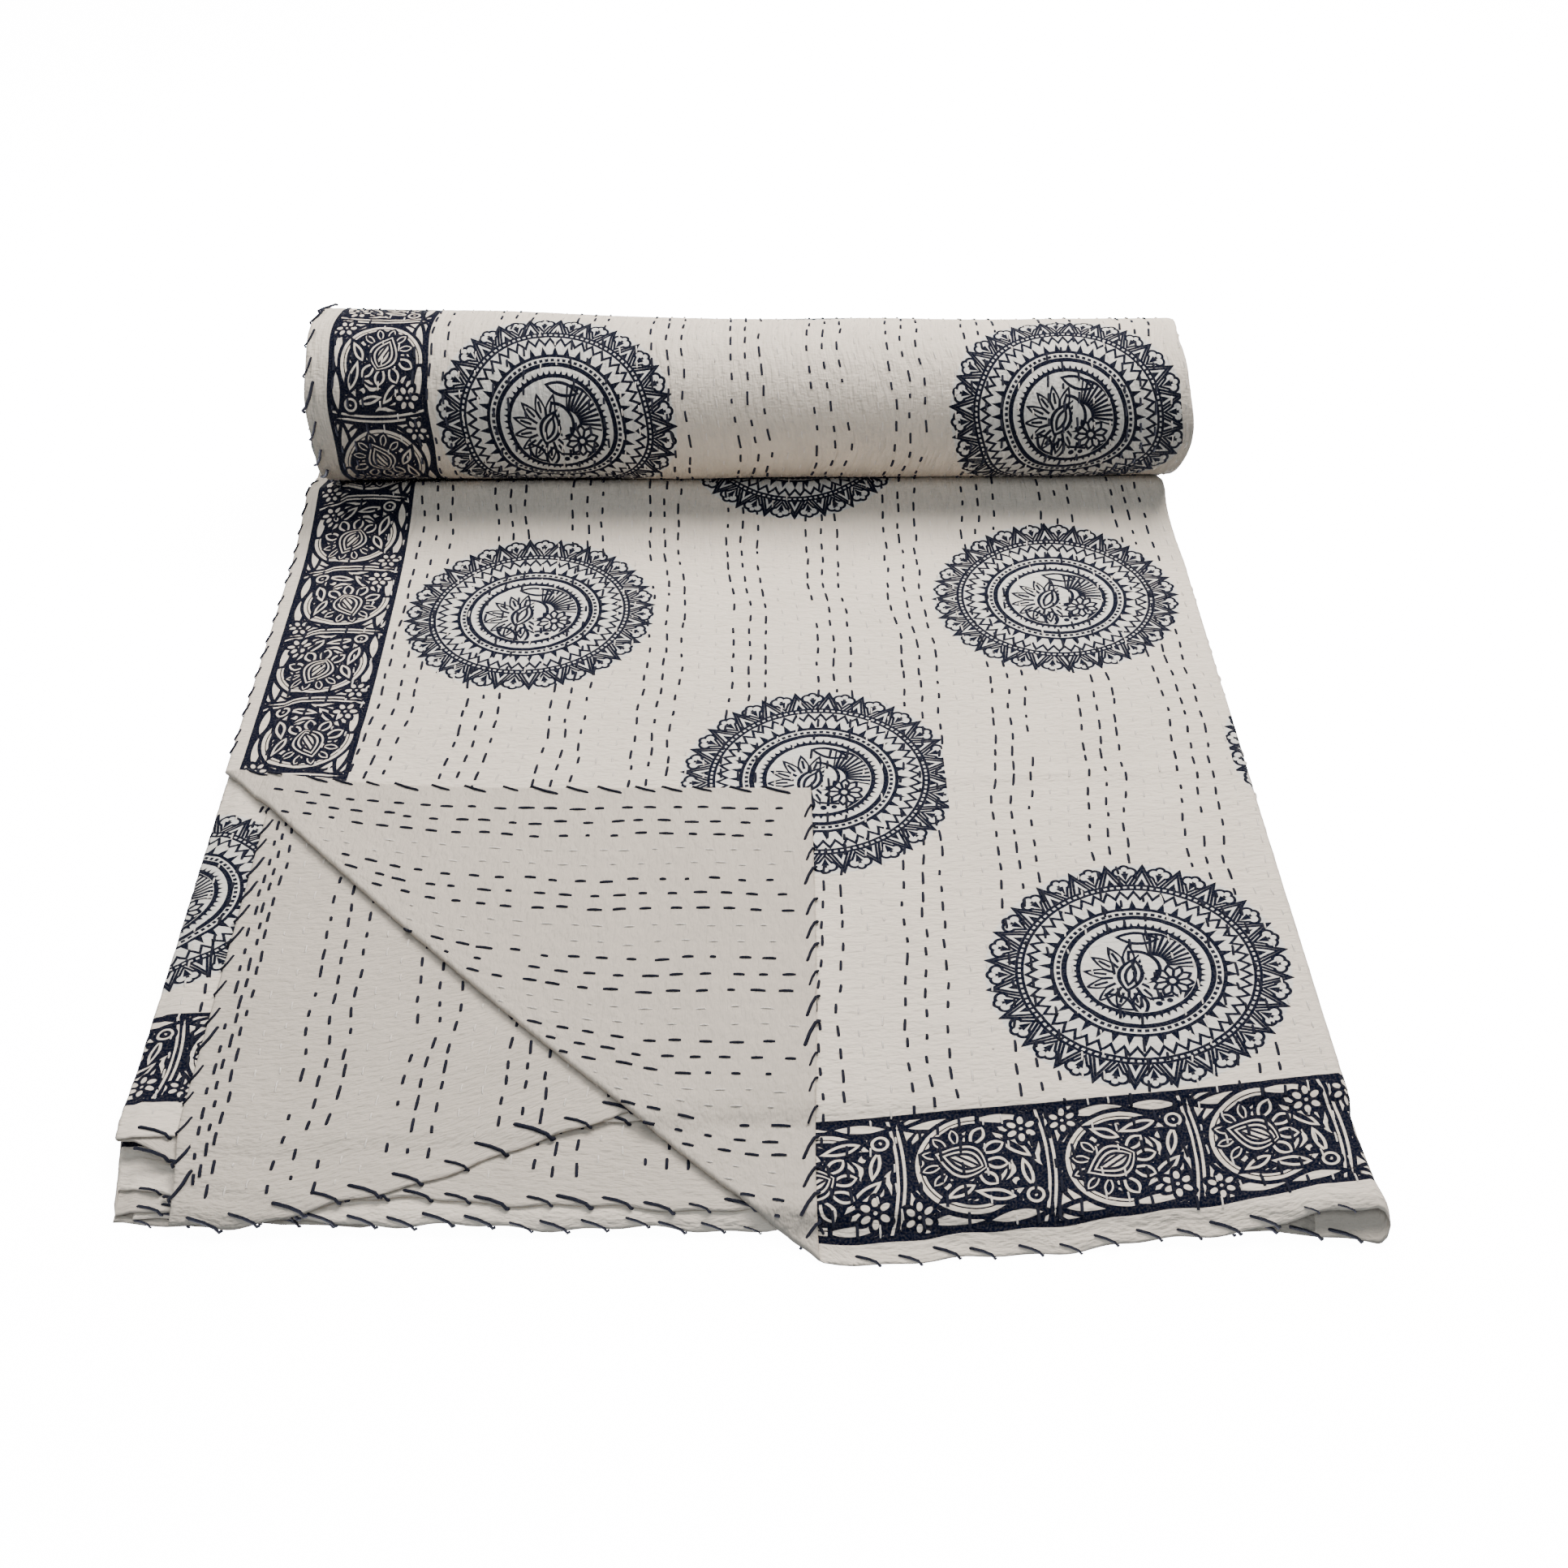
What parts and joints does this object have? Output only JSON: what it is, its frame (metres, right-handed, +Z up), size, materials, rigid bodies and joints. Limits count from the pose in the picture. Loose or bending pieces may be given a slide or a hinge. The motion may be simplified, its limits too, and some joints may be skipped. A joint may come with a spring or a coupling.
{
  "type": "kantha quilt",
  "caption": "Block-printed kantha quilt, folded lengthwise and across, its far end rolled up and one near corner turned back.",
  "frame": {"origin": "middle of the footprint, on the surface the quilt rests on", "axes": "+Z up, +Y from the near end with the turned-back corner towards the roll, +X from the cut side edges towards the outer lengthwise fold"},
  "size_m": [0.5684, 0.6858, 0.1199],
  "materials": {
    "quilted_cotton": "matte hand-stitched cotton with a navy block print"
  },
  "bodies": {
    "root": {"quilt": "quilted_cotton"}
  },
  "joints": []
}
